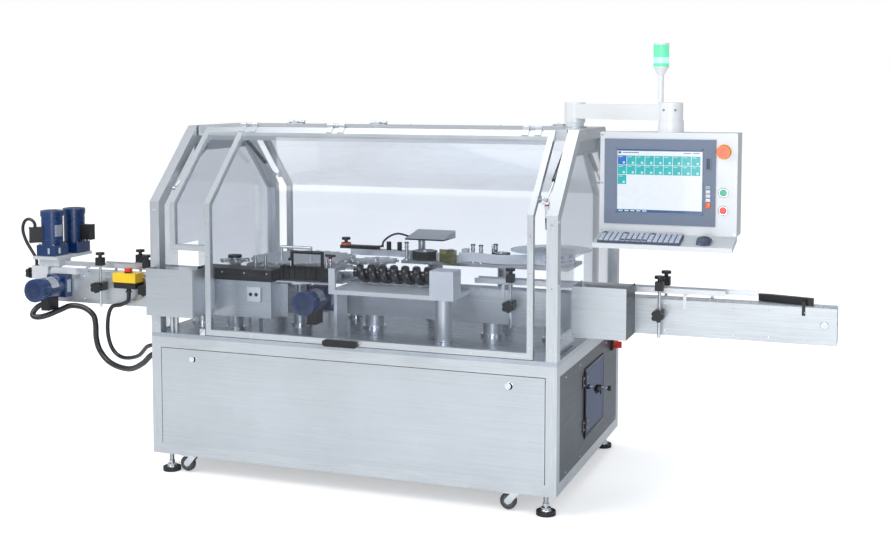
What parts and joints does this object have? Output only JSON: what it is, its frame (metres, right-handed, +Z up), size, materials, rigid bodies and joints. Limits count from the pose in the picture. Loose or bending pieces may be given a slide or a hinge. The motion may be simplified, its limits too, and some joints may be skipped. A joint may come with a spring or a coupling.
{
  "type": "rotary bottle labeling machine",
  "caption": "Bottle labeling machine: steel cabinet on feet and casters, clear gull-wing hood, two conveyors, carousel, feed screw, label reel and a swing-arm control panel.",
  "frame": {"origin": "on the floor under the centre of the machine's overall box, its cords left out", "axes": "+X along the lanes towards the discharge end, +Y from the front doors to the back, +Z up"},
  "size_m": [4.0408, 1.315, 2.041],
  "materials": {
    "brushed steel": "brushed",
    "panel steel": "brushed",
    "table steel": "satin",
    "dark panel": "satin",
    "machined aluminium": "satin",
    "chrome": "polished",
    "clear sheet": "clear",
    "tinted sheet": "clear",
    "blue paint": "semi gloss",
    "black plastic": "matte",
    "yellow plastic": "satin",
    "red plastic": "gloss",
    "orange red plastic": "gloss",
    "green plastic": "gloss",
    "white paint": "satin",
    "caster rubber": "satin",
    "black rubber": "satin",
    "cable sheath": "satin",
    "slat plastic": "satin",
    "label paper": "satin",
    "screen glass": "satin",
    "keys": "matte",
    "signal lens": "gloss"
  },
  "bodies": {
    "machine": {"cabinet_frame": "brushed steel", "table_plate": "table steel", "cabinet_panels": "dark panel", "floor_hardware": "chrome", "hood_left": "brushed steel", "hood_right": "brushed steel", "hood_top": "brushed steel", "end_panels": "clear sheet", "feed_conveyor": "brushed steel", "discharge_conveyor": "brushed steel", "slat_chains": "slat plastic", "gearmotors": "blue paint", "guide_rails": "machined aluminium", "rail_clamps": "black plastic", "stop_box": "yellow plastic", "shield_boxes": "panel steel", "guide_blocks": "black plastic", "tables_and_columns": "machined aluminium", "label_head": "machined aluminium", "main_hose": "cable sheath", "stop_hose": "cable sheath", "motor_cable": "cable sheath"},
    "front_panel": {"front_panel": "panel steel"},
    "lock_left": {"lock_left": "chrome"},
    "lock_right": {"lock_right": "chrome"},
    "side_door": {"side_door": "tinted sheet"},
    "side_latch": {"side_latch": "black plastic"},
    "main_switch": {"main_switch": "red plastic"},
    "caster_left": {"caster_fork_left": "chrome"},
    "caster_right": {"caster_fork_right": "chrome"},
    "wheel_front_left": {"wheel_front_left": "caster rubber"},
    "wheel_front_right": {"wheel_front_right": "caster rubber"},
    "wheel_back_left": {"wheel_back_left": "caster rubber"},
    "wheel_back_right": {"wheel_back_right": "caster rubber"},
    "front_door": {"front_door_frame": "brushed steel", "front_door_panels": "clear sheet", "front_door_handle": "black plastic"},
    "rear_door": {"rear_door_frame": "brushed steel", "rear_door_panels": "clear sheet"},
    "front_strut_tubes": {"front_strut_tubes": "black plastic"},
    "front_strut_rods": {"front_strut_rods": "chrome"},
    "rear_strut_tubes": {"rear_strut_tubes": "black plastic"},
    "rear_strut_rods": {"rear_strut_rods": "chrome"},
    "sprocket": {"drive_sprocket": "machined aluminium"},
    "carousel": {"carousel": "machined aluminium"},
    "feed_star": {"feed_star": "machined aluminium"},
    "transfer_star": {"transfer_star": "machined aluminium"},
    "feed_screw": {"feed_screw": "black plastic"},
    "web_roller": {"web_roller": "black rubber"},
    "nip_roller": {"nip_roller": "black rubber"},
    "label_reel": {"label_reel": "label paper"},
    "control_arm": {"control_arm": "white paint", "signal_light": "signal lens"},
    "control_panel": {"control_panel": "brushed steel", "screen": "screen glass", "keyboard_and_mouse": "keys"},
    "panel_stop": {"panel_stop": "orange red plastic"},
    "start_button": {"start_button": "green plastic"},
    "halt_button": {"halt_button": "red plastic"},
    "stop_button": {"stop_button": "red plastic"}
  },
  "joints": [
    {"name": "front_panel_hinge", "type": "hinge", "parent": "machine", "child": "front_panel", "pos_m": [-0.103, -0.5975, 0.1483], "axis": [1, 0, 0], "range_deg": [0, 80]},
    {"name": "lock_left_turn", "type": "hinge", "parent": "front_panel", "child": "lock_left", "pos_m": [-0.885, -0.5975, 0.566], "axis": [0, -1, 0], "range_deg": [0, 90]},
    {"name": "lock_right_turn", "type": "hinge", "parent": "front_panel", "child": "lock_right", "pos_m": [0.679, -0.5975, 0.566], "axis": [0, -1, 0], "range_deg": [0, 90]},
    {"name": "side_door_hinge", "type": "hinge", "parent": "machine", "child": "side_door", "pos_m": [0.9023, -0.1065, 0.387], "axis": [0, 0, -1], "range_deg": [0, 110]},
    {"name": "side_latch_turn", "type": "hinge", "parent": "side_door", "child": "side_latch", "pos_m": [0.9013, 0.1725, 0.404], "axis": [1, 0, 0], "range_deg": [0, 90]},
    {"name": "main_switch_turn", "type": "hinge", "parent": "machine", "child": "main_switch", "pos_m": [0.9093, 0.4675, 0.558], "axis": [1, 0, 0], "range_deg": [0, 90]},
    {"name": "caster_left_swivel", "type": "hinge", "parent": "machine", "child": "caster_left", "pos_m": [-0.918, -0.5355, 0.093], "axis": [0, 0, 1], "continuous": true},
    {"name": "caster_right_swivel", "type": "hinge", "parent": "machine", "child": "caster_right", "pos_m": [0.697, -0.5355, 0.093], "axis": [0, 0, 1], "continuous": true},
    {"name": "wheel_front_left_spin", "type": "hinge", "parent": "caster_left", "child": "wheel_front_left", "pos_m": [-0.95, -0.5355, 0.042], "axis": [0, 1, 0], "continuous": true},
    {"name": "wheel_front_right_spin", "type": "hinge", "parent": "caster_right", "child": "wheel_front_right", "pos_m": [0.665, -0.5355, 0.042], "axis": [0, 1, 0], "continuous": true},
    {"name": "wheel_back_left_spin", "type": "hinge", "parent": "machine", "child": "wheel_back_left", "pos_m": [-0.95, 0.5655, 0.042], "axis": [0, 1, 0], "continuous": true},
    {"name": "wheel_back_right_spin", "type": "hinge", "parent": "machine", "child": "wheel_back_right", "pos_m": [0.665, 0.5655, 0.042], "axis": [0, 1, 0], "continuous": true},
    {"name": "front_door_hinge", "type": "hinge", "parent": "machine", "child": "front_door", "pos_m": [-0.103, -0.2415, 1.67], "axis": [-1, 0, 0], "range_deg": [0, 70]},
    {"name": "rear_door_hinge", "type": "hinge", "parent": "machine", "child": "rear_door", "pos_m": [-0.103, 0.2715, 1.67], "axis": [1, 0, 0], "range_deg": [0, 70]},
    {"name": "front_strut_swing", "type": "hinge", "parent": "machine", "child": "front_strut_tubes", "pos_m": [-0.103, -0.1975, 1.56], "axis": [-1, 0, 0], "range_deg": [0, 63.4]},
    {"name": "front_strut_stroke", "type": "slide", "parent": "front_strut_tubes", "child": "front_strut_rods", "axis": [0, -0.8423, -0.5391], "range_m": [0, 0.12725]},
    {"name": "rear_strut_swing", "type": "hinge", "parent": "machine", "child": "rear_strut_tubes", "pos_m": [-0.103, 0.2275, 1.56], "axis": [1, 0, 0], "range_deg": [0, 63.4]},
    {"name": "rear_strut_stroke", "type": "slide", "parent": "rear_strut_tubes", "child": "rear_strut_rods", "axis": [0, 0.8423, -0.5391], "range_m": [0, 0.12725]},
    {"name": "sprocket_spin", "type": "hinge", "parent": "machine", "child": "sprocket", "pos_m": [-1.795, -0.2975, 0.838], "axis": [0, 1, 0], "continuous": true},
    {"name": "carousel_spin", "type": "hinge", "parent": "machine", "child": "carousel", "pos_m": [-0.573, -0.0325, 0.936], "axis": [0, 0, -1], "continuous": true},
    {"name": "feed_star_spin", "type": "hinge", "parent": "machine", "child": "feed_star", "pos_m": [-0.8615, -0.21898, 0.936], "axis": [0, 0, -1], "continuous": true},
    {"name": "transfer_star_spin", "type": "hinge", "parent": "machine", "child": "transfer_star", "pos_m": [-0.19123, -0.00472, 0.936], "axis": [0, 0, -1], "continuous": true},
    {"name": "screw_spin", "type": "hinge", "parent": "machine", "child": "feed_screw", "pos_m": [-0.016, -0.1905, 0.958], "axis": [-1, 0, 0], "continuous": true},
    {"name": "web_roller_spin", "type": "hinge", "parent": "machine", "child": "web_roller", "pos_m": [0.037, 0.0825, 1.001], "axis": [0, 0, 1], "continuous": true},
    {"name": "nip_roller_spin", "type": "hinge", "parent": "machine", "child": "nip_roller", "pos_m": [0.447, 0.0425, 1.024], "axis": [0, 0, 1], "continuous": true},
    {"name": "label_reel_spin", "type": "hinge", "parent": "machine", "child": "label_reel", "pos_m": [0.659, 0.1725, 1.001], "axis": [0, 0, 1], "continuous": true},
    {"name": "control_arm_swing", "type": "hinge", "parent": "machine", "child": "control_arm", "pos_m": [0.812, 0.015, 1.668], "axis": [0, 0, 1], "range_deg": [-10, 80]},
    {"name": "control_panel_turn", "type": "hinge", "parent": "control_arm", "child": "control_panel", "pos_m": [1.31259, -0.28578, 1.706], "axis": [0, 0, 1], "range_deg": [-45, 45]},
    {"name": "panel_stop_press", "type": "slide", "parent": "control_panel", "child": "panel_stop", "axis": [0, 1, 0], "range_m": [0, 0.005], "stiffness_N_per_m": 400, "springref_m": -0.004},
    {"name": "start_button_press", "type": "slide", "parent": "control_panel", "child": "start_button", "axis": [0, 1, 0], "range_m": [0, 0.005], "stiffness_N_per_m": 400, "springref_m": -0.004},
    {"name": "halt_button_press", "type": "slide", "parent": "control_panel", "child": "halt_button", "axis": [0, 1, 0], "range_m": [0, 0.005], "stiffness_N_per_m": 400, "springref_m": -0.004},
    {"name": "stop_button_press", "type": "slide", "parent": "machine", "child": "stop_button", "axis": [0, 0, -1], "range_m": [0, 0.005], "stiffness_N_per_m": 400, "springref_m": -0.004}
  ],
  "couplings": [
    {"joint": "front_strut_swing", "follows": "front_door_hinge", "ratio": 0.90552},
    {"joint": "front_strut_stroke", "follows": "front_door_hinge", "m_per_rad": 0.10411},
    {"joint": "rear_strut_swing", "follows": "rear_door_hinge", "ratio": 0.90552},
    {"joint": "rear_strut_stroke", "follows": "rear_door_hinge", "m_per_rad": 0.10411},
    {"joint": "feed_star_spin", "follows": "carousel_spin", "ratio": -3.375},
    {"joint": "transfer_star_spin", "follows": "carousel_spin", "ratio": -2.25},
    {"joint": "screw_spin", "follows": "carousel_spin", "ratio": 27}
  ]
}
